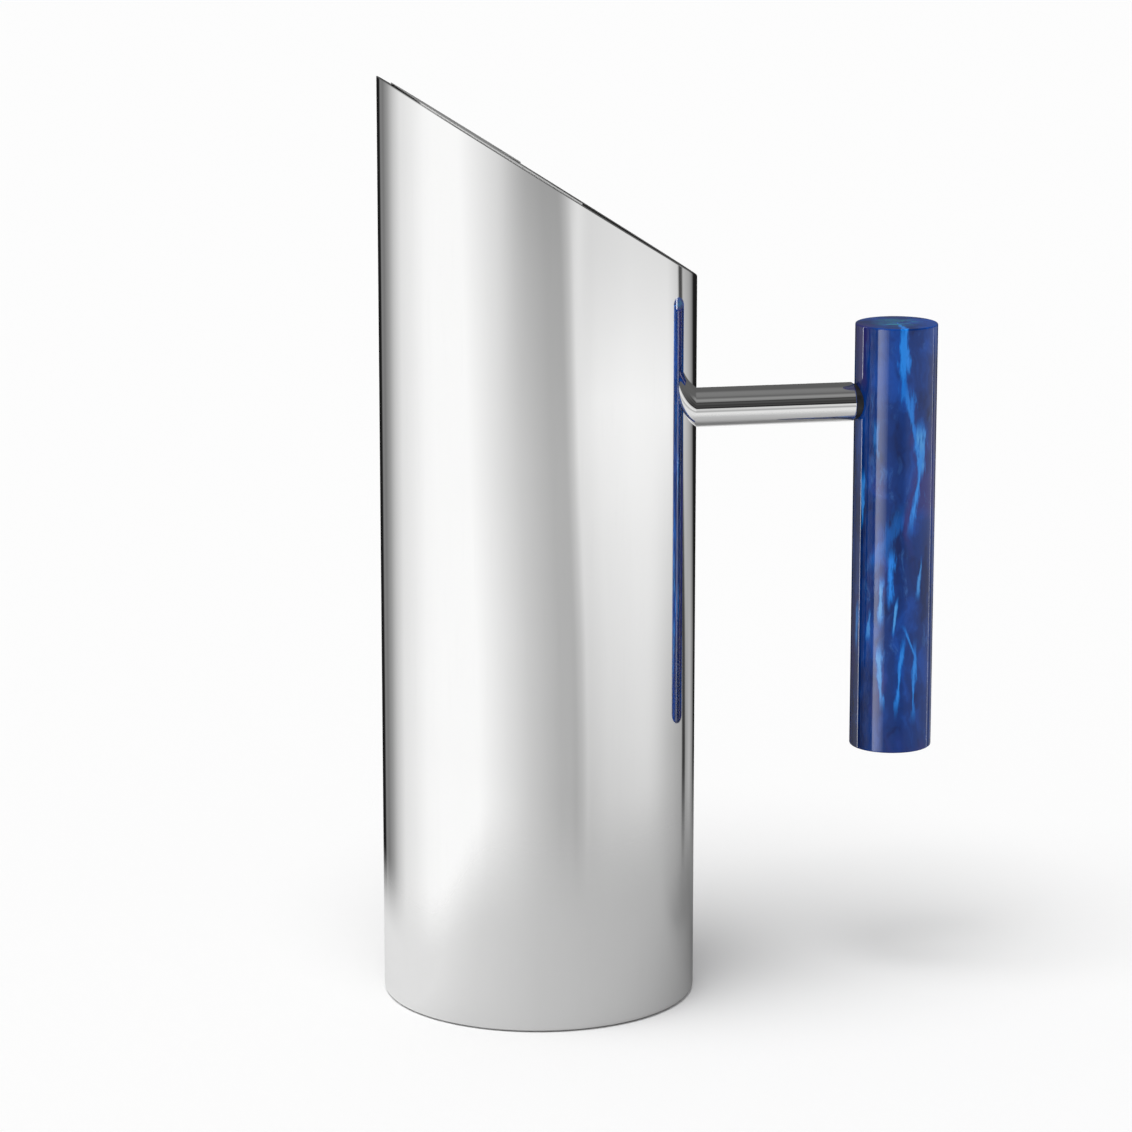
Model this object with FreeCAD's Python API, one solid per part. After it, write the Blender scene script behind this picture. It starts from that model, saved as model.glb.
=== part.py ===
"""Water pitcher: a slant-cut polished metal cylinder with a resin rod held off its side.

Lengths are in millimetres. The Z axis is the axis of the body, Z = 0 is the resting plane,
the handle stands out along +X and the pouring tip is on the -X side.
"""
import FreeCAD, Part

import math
import os

# Body tube and its slanted mouth
BODY_OUTER_RADIUS = 48.0
BODY_WALL = 1.0
TIP_HEIGHT = 284.0
LOW_LIP_HEIGHT = 222.8
LIP_ROUNDING = 0.3

# Base pan welded under the tube
PAN_FLANGE_HEIGHT = 6.0
PAN_CORNER_RADIUS = 1.5
FOOT_RING_WIDTH = 8.0
PAN_RECESS = 1.2
PAN_STEP_RUN = 2.0

# Ice guard soldered on the mouth
GUARD_THICKNESS = 0.4
GUARD_FRONT_GAP = 8.0
GUARD_HORN_REACH = 4.0
GUARD_MIDDLE_REACH = -12.0

# Handle arm: a horizontal tube with a plug in its outer end
ARM_OUTER_RADIUS = 6.0
ARM_WALL = 1.5
ARM_HEIGHT = 181.0
ARM_END_ROUNDING = 0.6
PLUG_LENGTH = 10.0

# Grip rod
GRIP_RADIUS = 12.7
GRIP_OFFSET = 112.2
GRIP_LENGTH = 133.4
GRIP_TOP_ABOVE_ARM = 24.1
GRIP_EDGE_ROUNDING = 0.5

# Fastening between the arm and the grip
WASHER_INSET = 0.5
WASHER_THICKNESS = 0.9
STUD_RADIUS = 3.0
STUD_END_CHAMFER = 0.5
STUD_HOLE_CLEARANCE = 0.2
STUD_END_CLEARANCE = 1.0
INSERT_WALL = 1.5
INSERT_LENGTH = 12.0
INSERT_SINK = 0.3
INSERT_FLOOR = 1.5

# Worked out from the sizes above
BODY_INNER_RADIUS = BODY_OUTER_RADIUS - BODY_WALL
MOUTH_MID_HEIGHT = (TIP_HEIGHT + LOW_LIP_HEIGHT) / 2
MOUTH_SLANT = math.degrees(math.atan2(TIP_HEIGHT - LOW_LIP_HEIGHT, 2 * BODY_OUTER_RADIUS))
GUARD_FRONT_X = GUARD_FRONT_GAP - BODY_OUTER_RADIUS
ARM_INNER_RADIUS = ARM_OUTER_RADIUS - ARM_WALL
WASHER_RADIUS = ARM_OUTER_RADIUS - WASHER_INSET
INSERT_RADIUS = STUD_RADIUS + INSERT_WALL
GRIP_BOTTOM = ARM_HEIGHT + GRIP_TOP_ABOVE_ARM - GRIP_LENGTH
ARM_END_X = GRIP_OFFSET - GRIP_RADIUS - WASHER_THICKNESS
PLUG_START_X = ARM_END_X - PLUG_LENGTH
INSERT_FACE_X = GRIP_OFFSET - math.sqrt(GRIP_RADIUS**2 - INSERT_RADIUS**2) + INSERT_SINK
THREAD_DEPTH = INSERT_LENGTH - INSERT_FLOOR
STUD_END_X = INSERT_FACE_X + THREAD_DEPTH - STUD_END_CLEARANCE
CUTTER = 4 * TIP_HEIGHT

X_AXIS = FreeCAD.Vector(1, 0, 0)
Y_AXIS = FreeCAD.Vector(0, 1, 0)
Z_AXIS = FreeCAD.Vector(0, 0, 1)
ORIGIN = FreeCAD.Vector(0, 0, 0)


def upright_cylinder(radius, bottom, height, x=0.0):
    """A solid cylinder along Z, centred on the XZ plane."""
    return Part.makeCylinder(radius, height, FreeCAD.Vector(x, 0, bottom), Z_AXIS)


def level_cylinder(radius, start_x, end_x):
    """A solid cylinder along X at the height of the arm."""
    base = FreeCAD.Vector(start_x, 0, ARM_HEIGHT)
    return Part.makeCylinder(radius, end_x - start_x, base, X_AXIS)


def mouth_slab(thickness):
    """A wide slab that lies on the slanted mouth plane."""
    corner = FreeCAD.Vector(-CUTTER / 2, -CUTTER / 2, 0)
    slab = Part.makeBox(CUTTER, CUTTER, thickness, corner)
    slab.rotate(ORIGIN, Y_AXIS, MOUTH_SLANT)
    slab.translate(FreeCAD.Vector(0, 0, MOUTH_MID_HEIGHT))
    return slab


def circle_edges_at_x(shape, x, radius):
    """The circular edges of a shape that lie across X at one place."""
    found = []
    for edge in shape.Edges:
        if not isinstance(edge.Curve, Part.Circle):
            continue
        centre = edge.Curve.Center
        if math.isclose(centre.x, x) and math.isclose(edge.Curve.Radius, radius):
            found.append(edge)
    return found


def body_shell():
    """Tube of the body, cut off on the slanted mouth plane, with its lip eased."""
    height = TIP_HEIGHT - PAN_FLANGE_HEIGHT
    tube = upright_cylinder(BODY_OUTER_RADIUS, PAN_FLANGE_HEIGHT, height)
    tube = tube.cut(upright_cylinder(BODY_INNER_RADIUS, PAN_FLANGE_HEIGHT, height))
    tube = tube.cut(mouth_slab(CUTTER))
    lip = [edge for edge in tube.Edges if isinstance(edge.Curve, Part.Ellipse)]
    return tube.makeFillet(LIP_ROUNDING, lip)


def base_pan():
    """Pressed base: an upturned flange, a rounded corner, a foot ring and a raised middle."""
    corner_x = BODY_OUTER_RADIUS - PAN_CORNER_RADIUS
    inner_corner = PAN_CORNER_RADIUS - BODY_WALL
    ring_x = BODY_OUTER_RADIUS - FOOT_RING_WIDTH
    middle_x = ring_x - PAN_STEP_RUN
    slope = math.cos(math.pi / 4)

    def point(x, z):
        return FreeCAD.Vector(x, 0, z)

    def line(start, end):
        return Part.LineSegment(start, end).toShape()

    def corner(start, radius, end):
        middle = point(corner_x + radius * slope, PAN_CORNER_RADIUS - radius * slope)
        return Part.Arc(start, middle, end).toShape()

    outline = [
        line(point(0, PAN_RECESS), point(middle_x, PAN_RECESS)),
        line(point(middle_x, PAN_RECESS), point(ring_x, 0)),
        line(point(ring_x, 0), point(corner_x, 0)),
        corner(point(corner_x, 0), PAN_CORNER_RADIUS, point(BODY_OUTER_RADIUS, PAN_CORNER_RADIUS)),
        line(point(BODY_OUTER_RADIUS, PAN_CORNER_RADIUS), point(BODY_OUTER_RADIUS, PAN_FLANGE_HEIGHT)),
        line(point(BODY_OUTER_RADIUS, PAN_FLANGE_HEIGHT), point(BODY_INNER_RADIUS, PAN_FLANGE_HEIGHT)),
        line(point(BODY_INNER_RADIUS, PAN_FLANGE_HEIGHT), point(BODY_INNER_RADIUS, PAN_CORNER_RADIUS)),
        corner(point(BODY_INNER_RADIUS, PAN_CORNER_RADIUS), inner_corner, point(corner_x, BODY_WALL)),
        line(point(corner_x, BODY_WALL), point(ring_x, BODY_WALL)),
        line(point(ring_x, BODY_WALL), point(middle_x, PAN_RECESS + BODY_WALL)),
        line(point(middle_x, PAN_RECESS + BODY_WALL), point(0, PAN_RECESS + BODY_WALL)),
        line(point(0, PAN_RECESS + BODY_WALL), point(0, PAN_RECESS)),
    ]
    face = Part.Face(Part.Wire(outline))
    return face.revolve(ORIGIN, Z_AXIS, 360)


def ice_guard():
    """Crescent plate on the lip that holds back ice and leaves a pouring slot at the tip."""
    plate = mouth_slab(GUARD_THICKNESS)
    plate = plate.common(upright_cylinder(BODY_OUTER_RADIUS, 0, CUTTER))
    front = FreeCAD.Vector(GUARD_FRONT_X - CUTTER, -CUTTER / 2, 0)
    plate = plate.cut(Part.makeBox(CUTTER, CUTTER, CUTTER, front))
    half_width = math.sqrt(BODY_OUTER_RADIUS**2 - GUARD_HORN_REACH**2)
    sweep = GUARD_HORN_REACH - GUARD_MIDDLE_REACH
    back_radius = (half_width**2 + sweep**2) / (2 * sweep)
    back_x = GUARD_MIDDLE_REACH + back_radius
    return plate.cut(upright_cylinder(back_radius, 0, CUTTER, back_x))


def handle_arm():
    """Horizontal tube, coped to the body at one end and cut square at the other."""
    arm = level_cylinder(ARM_OUTER_RADIUS, 0, ARM_END_X)
    arm = arm.makeFillet(ARM_END_ROUNDING, circle_edges_at_x(arm, ARM_END_X, ARM_OUTER_RADIUS))
    arm = arm.cut(level_cylinder(ARM_INNER_RADIUS, 0, ARM_END_X))
    return arm.cut(upright_cylinder(BODY_OUTER_RADIUS, 0, TIP_HEIGHT))


def arm_end_plug():
    """Plug brazed in the outer end of the arm, tapped for the stud."""
    plug = level_cylinder(ARM_INNER_RADIUS, PLUG_START_X, ARM_END_X)
    return plug.cut(level_cylinder(STUD_RADIUS, PLUG_START_X, ARM_END_X))


def grip_stud():
    """Threaded stud that ties the grip to the plug in the arm."""
    stud = level_cylinder(STUD_RADIUS, PLUG_START_X, STUD_END_X)
    ends = circle_edges_at_x(stud, PLUG_START_X, STUD_RADIUS)
    ends += circle_edges_at_x(stud, STUD_END_X, STUD_RADIUS)
    return stud.makeChamfer(STUD_END_CHAMFER, ends)


def grip_cylinder():
    """The outer cylinder of the grip."""
    return upright_cylinder(GRIP_RADIUS, GRIP_BOTTOM, GRIP_LENGTH, GRIP_OFFSET)


def grip_washer():
    """Washer between the arm and the grip, flat on one side and saddled on the other."""
    washer = level_cylinder(WASHER_RADIUS, ARM_END_X, GRIP_OFFSET)
    washer = washer.cut(level_cylinder(STUD_RADIUS + STUD_HOLE_CLEARANCE, ARM_END_X, GRIP_OFFSET))
    return washer.cut(grip_cylinder())


def grip_insert():
    """Metal insert in the grip with a blind tapped hole for the stud."""
    insert = level_cylinder(INSERT_RADIUS, INSERT_FACE_X, INSERT_FACE_X + INSERT_LENGTH)
    return insert.cut(level_cylinder(STUD_RADIUS, INSERT_FACE_X, INSERT_FACE_X + THREAD_DEPTH))


def handle_grip():
    """Solid resin rod with eased ends and a round socket for the insert."""
    rod = grip_cylinder()
    rims = [edge for edge in rod.Edges if isinstance(edge.Curve, Part.Circle)]
    rod = rod.makeFillet(GRIP_EDGE_ROUNDING, rims)
    socket_start = GRIP_OFFSET - 2 * GRIP_RADIUS
    return rod.cut(level_cylinder(INSERT_RADIUS, socket_start, INSERT_FACE_X + INSERT_LENGTH))


def main():
    """Build every piece and write each to its own file."""
    os.makedirs("parts", exist_ok=True)
    makers = (
        body_shell,
        base_pan,
        ice_guard,
        handle_arm,
        arm_end_plug,
        grip_stud,
        grip_washer,
        grip_insert,
        handle_grip,
    )
    for maker in makers:
        shape = maker()
        print(maker.__name__, shape.isValid(), len(shape.Solids), round(shape.Volume))
        shape.exportStep("parts/" + maker.__name__ + ".step")


main()
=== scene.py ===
"""Water pitcher: the looks of a slant-cut polished steel cylinder with a marbled resin grip.

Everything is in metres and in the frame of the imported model. The Z axis is the axis of the body,
the floor is at Z = 0, the pouring tip is on the -X side and the handle stands out along +X.
"""
import logging
import math
from collections.abc import Callable, Mapping, Sequence
from dataclasses import dataclass
from enum import Enum

import bmesh
import bpy
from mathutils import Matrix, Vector


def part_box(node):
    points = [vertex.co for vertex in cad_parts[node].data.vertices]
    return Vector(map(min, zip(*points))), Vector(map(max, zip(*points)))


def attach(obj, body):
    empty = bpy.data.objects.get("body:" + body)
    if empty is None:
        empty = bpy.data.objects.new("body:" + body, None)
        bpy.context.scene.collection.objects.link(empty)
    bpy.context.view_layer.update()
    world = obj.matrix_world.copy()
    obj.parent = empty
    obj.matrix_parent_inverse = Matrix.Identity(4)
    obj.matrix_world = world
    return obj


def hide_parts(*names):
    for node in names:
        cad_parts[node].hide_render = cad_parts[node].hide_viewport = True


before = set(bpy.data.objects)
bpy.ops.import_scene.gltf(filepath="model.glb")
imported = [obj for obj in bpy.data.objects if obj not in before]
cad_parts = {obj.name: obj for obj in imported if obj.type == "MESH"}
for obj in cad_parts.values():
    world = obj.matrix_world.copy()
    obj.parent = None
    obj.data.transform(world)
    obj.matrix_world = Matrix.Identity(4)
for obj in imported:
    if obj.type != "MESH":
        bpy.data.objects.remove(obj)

LOG = logging.getLogger("pitcher")
ROOT_BODY = "root"
MM = 0.001
SHARP_ANGLE = 40.0

Feed = bpy.types.NodeSocket | float | int | Sequence[float]
Profile = Sequence[tuple[float, float]]


class Slot(Enum):
    """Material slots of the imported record."""

    POLISHED_STEEL = "polished_steel"
    TURNED_STEEL = "turned_steel"
    BLACK_GASKET = "black_gasket"
    INSERT_BRASS = "insert_brass"
    MARBLED_RESIN = "marbled_resin"


class Node(Enum):
    """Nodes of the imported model."""

    BODY_SHELL = "body_shell"
    BASE_PAN = "base_pan"
    ICE_GUARD = "ice_guard"
    HANDLE_ARM = "handle_arm"
    ARM_END_PLUG = "arm_end_plug"
    GRIP_STUD = "grip_stud"
    GRIP_WASHER = "grip_washer"
    GRIP_INSERT = "grip_insert"
    HANDLE_GRIP = "handle_grip"


@dataclass(frozen=True)
class Colour:
    """A linear colour, from 0 to 1 in each channel."""

    red: float
    green: float
    blue: float

    @classmethod
    def grey(cls, level: float) -> "Colour":
        """A neutral colour of one level."""
        return cls(level, level, level)

    def rgba(self) -> tuple[float, float, float, float]:
        """The colour with a solid alpha, as a socket takes it."""
        return (self.red, self.green, self.blue, 1.0)


# --------------------------------------------------------------------------- node graphs


class NodeGraph:
    """Adds nodes to one node tree and joins them."""

    def __init__(self, tree: bpy.types.NodeTree) -> None:
        """Keep the tree that the nodes go in.

        Args:
            tree: The node tree to build in.
        """
        self.tree = tree

    def feed(self, socket: bpy.types.NodeSocket, value: Feed) -> None:
        """Link a socket, or set its value.

        Args:
            socket: The input to fill.
            value: Another node's output, or a plain value.
        """
        if isinstance(value, bpy.types.NodeSocket):
            self.tree.links.new(value, socket)
        else:
            socket.default_value = value

    def add(
        self,
        kind: str,
        inputs: Mapping[str | int, Feed] | None = None,
        **settings: object,
    ) -> bpy.types.Node:
        """Add one node.

        Args:
            kind: The node's type name.
            inputs: What goes in its sockets, by socket name or index.
            settings: The node's own options.

        Returns:
            The new node.
        """
        node = self.tree.nodes.new(kind)
        for name, value in settings.items():
            setattr(node, name, value)
        for key, value in (inputs or {}).items():
            self.feed(node.inputs[key], value)
        return node

    def calc(self, operation: str, *values: Feed) -> bpy.types.NodeSocket:
        """Join one Math node to up to three values and return its output."""
        node = self.add("ShaderNodeMath", dict(enumerate(values)), operation=operation)
        return node.outputs[0]

    def vector_calc(self, operation: str, *values: Feed) -> bpy.types.NodeSocket:
        """Join one Vector Math node and return its vector output."""
        node = self.add("ShaderNodeVectorMath", dict(enumerate(values)), operation=operation)
        return node.outputs[0]

    def dot(self, first: Feed, second: Feed) -> bpy.types.NodeSocket:
        """The dot product of two vectors."""
        node = self.add("ShaderNodeVectorMath", {0: first, 1: second}, operation="DOT_PRODUCT")
        return node.outputs["Value"]

    def split(self, vector: Feed) -> Sequence[bpy.types.NodeSocket]:
        """The X, Y and Z of a vector."""
        return self.add("ShaderNodeSeparateXYZ", {0: vector}).outputs

    def vector(self, x: Feed, y: Feed, z: Feed) -> bpy.types.NodeSocket:
        """A vector from its three parts."""
        return self.add("ShaderNodeCombineXYZ", {0: x, 1: y, 2: z}).outputs[0]

    def span(
        self,
        value: Feed,
        start: Feed,
        end: Feed,
        low: Feed = 0.0,
        high: Feed = 1.0,
        smooth: bool = True,
    ) -> bpy.types.NodeSocket:
        """Map a value from one span to another, held at the ends.

        Args:
            value: The value to map.
            start: The value that gives low.
            end: The value that gives high.
            low: The result at the start.
            high: The result at the end.
            smooth: Whether the change eases in and out.

        Returns:
            The mapped value.
        """
        node = self.add(
            "ShaderNodeMapRange",
            {"Value": value, "From Min": start, "From Max": end, "To Min": low, "To Max": high},
            interpolation_type="SMOOTHSTEP" if smooth else "LINEAR",
        )
        return node.outputs["Result"]

    def blend(
        self, factor: Feed, first: Feed, second: Feed, kind: str = "MIX"
    ) -> bpy.types.NodeSocket:
        """Mix two colours by a factor and return the result."""
        node = self.add(
            "ShaderNodeMix",
            {0: factor, 6: first, 7: second},
            data_type="RGBA",
            blend_type=kind,
            clamp_factor=True,
        )
        return node.outputs[2]

    def blend_value(self, factor: Feed, first: Feed, second: Feed) -> bpy.types.NodeSocket:
        """Mix two plain values by a factor and return the result."""
        node = self.add("ShaderNodeMix", {0: factor, 2: first, 3: second}, data_type="FLOAT")
        return node.outputs[0]

    def window(
        self, value: Feed, opening: tuple[float, float], closing: tuple[float, float]
    ) -> bpy.types.NodeSocket:
        """Rise from 0 to 1 over one stretch and fall back to 0 over another.

        Args:
            value: The value to read.
            opening: Where the rise starts and ends.
            closing: The far end and the near end of the fall.

        Returns:
            How far open the window is, from 0 to 1.
        """
        return self.calc("MULTIPLY", self.span(value, *opening), self.span(value, *closing))

    def reach(self, x: Feed, y: Feed) -> bpy.types.NodeSocket:
        """How far a place is from the upright axis."""
        squares = [self.calc("MULTIPLY", part, part) for part in (x, y)]
        return self.calc("SQRT", self.calc("ADD", *squares))

    def polished(self, light_path: bpy.types.NodeOutputs) -> bpy.types.NodeSocket:
        """Whether a ray comes from a polished or a clear surface, from a Light Path's outputs."""
        glossy, clear = light_path["Is Glossy Ray"], light_path["Is Transmission Ray"]
        return self.calc("MAXIMUM", glossy, clear)

    def degrees(self, angle: Feed) -> bpy.types.NodeSocket:
        """Turn an angle from radians to degrees."""
        return self.calc("MULTIPLY", angle, 180.0 / math.pi)

    def noise(
        self, vector: Feed, scale: Feed, detail: float, roughness: float
    ) -> bpy.types.NodeSocket:
        """A noise value over a vector.

        Args:
            vector: Where the noise is read.
            scale: How many features fit in one metre.
            detail: How many finer layers are added.
            roughness: How strong the finer layers are.

        Returns:
            The noise value, around 0.5.
        """
        node = self.add(
            "ShaderNodeTexNoise",
            {"Vector": vector, "Scale": scale, "Detail": detail, "Roughness": roughness},
        )
        return node.outputs[0]

    def ramp(
        self, factor: Feed, stops: Sequence[tuple[float, Colour]], smooth: bool = False
    ) -> bpy.types.NodeSocket:
        """A colour ramp.

        Args:
            factor: Where on the ramp, from 0 to 1.
            stops: Places on the ramp and their colours, in rising order.
            smooth: Whether the colours ease into each other.

        Returns:
            The colour output.
        """
        node = self.add("ShaderNodeValToRGB", {0: factor})
        ramp = node.color_ramp
        ramp.interpolation = "EASE" if smooth else "LINEAR"
        while len(ramp.elements) < len(stops):
            ramp.elements.new(1.0)
        for element, (place, colour) in zip(ramp.elements, stops):
            element.position = place
            element.color = colour.rgba()
        return node.outputs[0]

    def group(self, tree: bpy.types.NodeTree, inputs: Mapping[str, Feed]) -> bpy.types.Node:
        """Place a node group with its own values.

        Args:
            tree: The group's node tree.
            inputs: What goes in its sockets, by name.

        Returns:
            The group node.
        """
        node = self.add("ShaderNodeGroup", node_tree=tree)
        for name, value in inputs.items():
            self.feed(node.inputs[name], value)
        return node


@dataclass(frozen=True)
class GroupPort:
    """One named socket on the outside of a node group."""

    name: str
    kind: str = "NodeSocketFloat"
    default: float | None = None


class ShaderGroup:
    """A shader node group that is built once and then placed in any material."""

    def __init__(
        self,
        name: str,
        inputs: Sequence[GroupPort],
        outputs: Sequence[GroupPort],
        build: Callable[[NodeGraph, bpy.types.NodeInputs], Mapping[str, Feed]],
    ) -> None:
        """Build the group.

        Args:
            name: The group's name.
            inputs: The sockets that the group takes.
            outputs: The sockets that it puts out.
            build: Makes the nodes from the graph and the group's inputs, and returns what feeds
                each output by name.
        """
        self.tree = bpy.data.node_groups.new(name, "ShaderNodeTree")
        for port, side in [(p, "INPUT") for p in inputs] + [(p, "OUTPUT") for p in outputs]:
            socket = self.tree.interface.new_socket(port.name, in_out=side, socket_type=port.kind)
            if port.default is not None:
                socket.default_value = port.default
        graph = NodeGraph(self.tree)
        entry = graph.add("NodeGroupInput")
        leave = graph.add("NodeGroupOutput")
        for port_name, value in build(graph, entry.outputs).items():
            graph.feed(leave.inputs[port_name], value)


def build_polish_haze(graph: NodeGraph, given: bpy.types.NodeInputs) -> dict[str, Feed]:
    """The nodes of the polish haze group.

    Args:
        graph: The group's graph.
        given: The group's inputs.

    Returns:
        What feeds each output.
    """
    cloud_share = 0.65
    soft = graph.noise(given["Vector"], given["Cloud Scale"], detail=4.0, roughness=0.55)
    cloud = graph.span(soft, 0.38, 0.72)
    stretched = graph.vector_calc("MULTIPLY", given["Vector"], given["Rub Stretch"])
    lines = graph.noise(stretched, given["Rub Scale"], detail=2.0, roughness=0.6)
    rubbed = graph.span(lines, 0.5, 0.78)
    haze = graph.blend_value(cloud_share, rubbed, cloud)
    roughness = graph.blend_value(haze, given["Clean Roughness"], given["Hazy Roughness"])
    return {"Haze": haze, "Roughness": roughness, "Relief": graph.calc("ADD", soft, lines)}


def build_streak(graph: NodeGraph, given: bpy.types.NodeInputs) -> dict[str, Feed]:
    """The nodes of the resin streak group: one long streak up the side of a rod.

    Args:
        graph: The group's graph.
        given: The group's inputs.

    Returns:
        What feeds each output.
    """
    grain = (1.0, 1.0, 0.16)
    raggedness = 2.4
    full_width_share = 0.15
    full_length_share = 0.35
    core_sharpness = 2.5
    x, y, z = graph.split(given["Vector"])
    angle = graph.degrees(graph.calc("ARCTAN2", y, x))
    wander = graph.noise(graph.vector(given["Seed"], 0.0, z), 42.0, detail=2.0, roughness=0.5)
    sway = graph.calc("MULTIPLY", graph.calc("SUBTRACT", wander, 0.5), given["Sway"])
    height = graph.calc("SUBTRACT", z, given["Middle"])
    slant = graph.calc("MULTIPLY", height, given["Lean"])
    line = graph.calc("ADD", given["Angle"], graph.calc("ADD", sway, slant))
    away = graph.calc("SUBTRACT", angle, line)
    turn = graph.calc("WRAP", away, 180.0, -180.0)
    stretched = graph.vector_calc("MULTIPLY", given["Vector"], grain)
    torn = graph.noise(stretched, 900.0, detail=3.0, roughness=0.65)
    thin = graph.noise(graph.vector(given["Seed"], 3.0, z), 75.0, detail=2.0, roughness=0.5)
    width = graph.calc("MULTIPLY", given["Width"], graph.span(thin, 0.3, 0.75, 0.35, 1.5))
    rough_edge = graph.calc("MULTIPLY", width, raggedness)
    ragged = graph.calc("MULTIPLY", graph.calc("SUBTRACT", torn, 0.5), rough_edge)
    gap = graph.calc("ABSOLUTE", graph.calc("ADD", turn, ragged))
    across = graph.span(gap, width, graph.calc("MULTIPLY", width, full_width_share))
    half = graph.calc("ABSOLUTE", height)
    full = graph.calc("MULTIPLY", given["Half Length"], full_length_share)
    along = graph.span(half, given["Half Length"], full)
    mask = graph.calc("MULTIPLY", across, along)
    core = graph.calc("POWER", mask, core_sharpness)
    return {"Streak": mask, "Core": core}


class Groups:
    """The shader node groups that the finishes share."""

    def __init__(self) -> None:
        """Build every group."""
        vector = GroupPort("Vector", "NodeSocketVector")
        self.polish_haze = ShaderGroup(
            "polish haze",
            [
                vector,
                GroupPort("Rub Stretch", "NodeSocketVector"),
                GroupPort("Cloud Scale", default=25.0),
                GroupPort("Rub Scale", default=900.0),
                GroupPort("Clean Roughness", default=0.03),
                GroupPort("Hazy Roughness", default=0.06),
            ],
            [GroupPort("Haze"), GroupPort("Roughness"), GroupPort("Relief")],
            build_polish_haze,
        )
        self.streak = ShaderGroup(
            "resin streak",
            [
                vector,
                GroupPort("Angle", default=0.0),
                GroupPort("Middle", default=0.0),
                GroupPort("Half Length", default=0.02),
                GroupPort("Width", default=5.0),
                GroupPort("Lean", default=0.0),
                GroupPort("Sway", default=20.0),
                GroupPort("Seed", default=0.0),
            ],
            [GroupPort("Streak"), GroupPort("Core")],
            build_streak,
        )


# --------------------------------------------------------------------------- finishes


def new_material(name: str) -> tuple[bpy.types.Material, NodeGraph, bpy.types.Node]:
    """Start a material with an empty tree, a Principled shader and an output.

    Args:
        name: The material's name.

    Returns:
        The material, its graph, and the Principled node.
    """
    material = bpy.data.materials.new(name)
    material.use_nodes = True
    material.node_tree.nodes.clear()
    graph = NodeGraph(material.node_tree)
    shader = graph.add("ShaderNodeBsdfPrincipled")
    out = graph.add("ShaderNodeOutputMaterial")
    graph.feed(out.inputs["Surface"], shader.outputs[0])
    return material, graph, shader


@dataclass(frozen=True)
class RubbedMetal:
    """Solid metal that was rubbed or polished, with a faint haze and marks along the rub."""

    name: str
    colour: Colour
    tarnish: Colour
    clean_roughness: float
    hazy_roughness: float
    cloud_scale: float
    rub_scale: float
    rub_stretch: tuple[float, float, float]
    relief: float
    metallic: float = 1.0

    def material(self, groups: Groups) -> bpy.types.Material:
        """Build the finish.

        Args:
            groups: The shared node groups.

        Returns:
            The material.
        """
        material, graph, shader = new_material(self.name)
        place = graph.add("ShaderNodeTexCoord").outputs["Object"]
        haze = graph.group(
            groups.polish_haze.tree,
            {
                "Vector": place,
                "Rub Stretch": self.rub_stretch,
                "Cloud Scale": self.cloud_scale,
                "Rub Scale": self.rub_scale,
                "Clean Roughness": self.clean_roughness,
                "Hazy Roughness": self.hazy_roughness,
            },
        )
        colour = graph.blend(haze.outputs["Haze"], self.colour.rgba(), self.tarnish.rgba())
        bump = graph.add(
            "ShaderNodeBump",
            {"Strength": self.relief, "Distance": 0.02 * MM, "Height": haze.outputs["Relief"]},
        )
        graph.feed(shader.inputs["Base Color"], colour)
        graph.feed(shader.inputs["Roughness"], haze.outputs["Roughness"])
        graph.feed(shader.inputs["Normal"], bump.outputs[0])
        shader.inputs["Metallic"].default_value = self.metallic
        return material


@dataclass(frozen=True)
class GasketRubber:
    """Black moulded rubber with a fine grain."""

    name: str = "black gasket"
    colour: Colour = Colour(0.012, 0.012, 0.013)
    dusty: Colour = Colour(0.03, 0.03, 0.032)
    roughness: float = 0.45

    def material(self, groups: Groups) -> bpy.types.Material:
        """Build the finish.

        Args:
            groups: The shared node groups.

        Returns:
            The material.
        """
        material, graph, shader = new_material(self.name)
        place = graph.add("ShaderNodeTexCoord").outputs["Object"]
        haze = graph.group(
            groups.polish_haze.tree,
            {
                "Vector": place,
                "Rub Stretch": (1.0, 1.0, 1.0),
                "Cloud Scale": 600.0,
                "Rub Scale": 4000.0,
                "Clean Roughness": self.roughness,
                "Hazy Roughness": self.roughness + 0.2,
            },
        )
        colour = graph.blend(haze.outputs["Haze"], self.colour.rgba(), self.dusty.rgba())
        bump = graph.add(
            "ShaderNodeBump",
            {"Strength": 0.3, "Distance": 0.05 * MM, "Height": haze.outputs["Relief"]},
        )
        graph.feed(shader.inputs["Base Color"], colour)
        graph.feed(shader.inputs["Roughness"], haze.outputs["Roughness"])
        graph.feed(shader.inputs["Normal"], bump.outputs[0])
        return material


@dataclass(frozen=True)
class Streak:
    """One long streak of lighter pigment in the resin. Angles are about the grip's axis."""

    angle: float
    middle: float
    half_length: float
    width: float
    lean: float
    sway: float
    strength: float
    paleness: float


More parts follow.
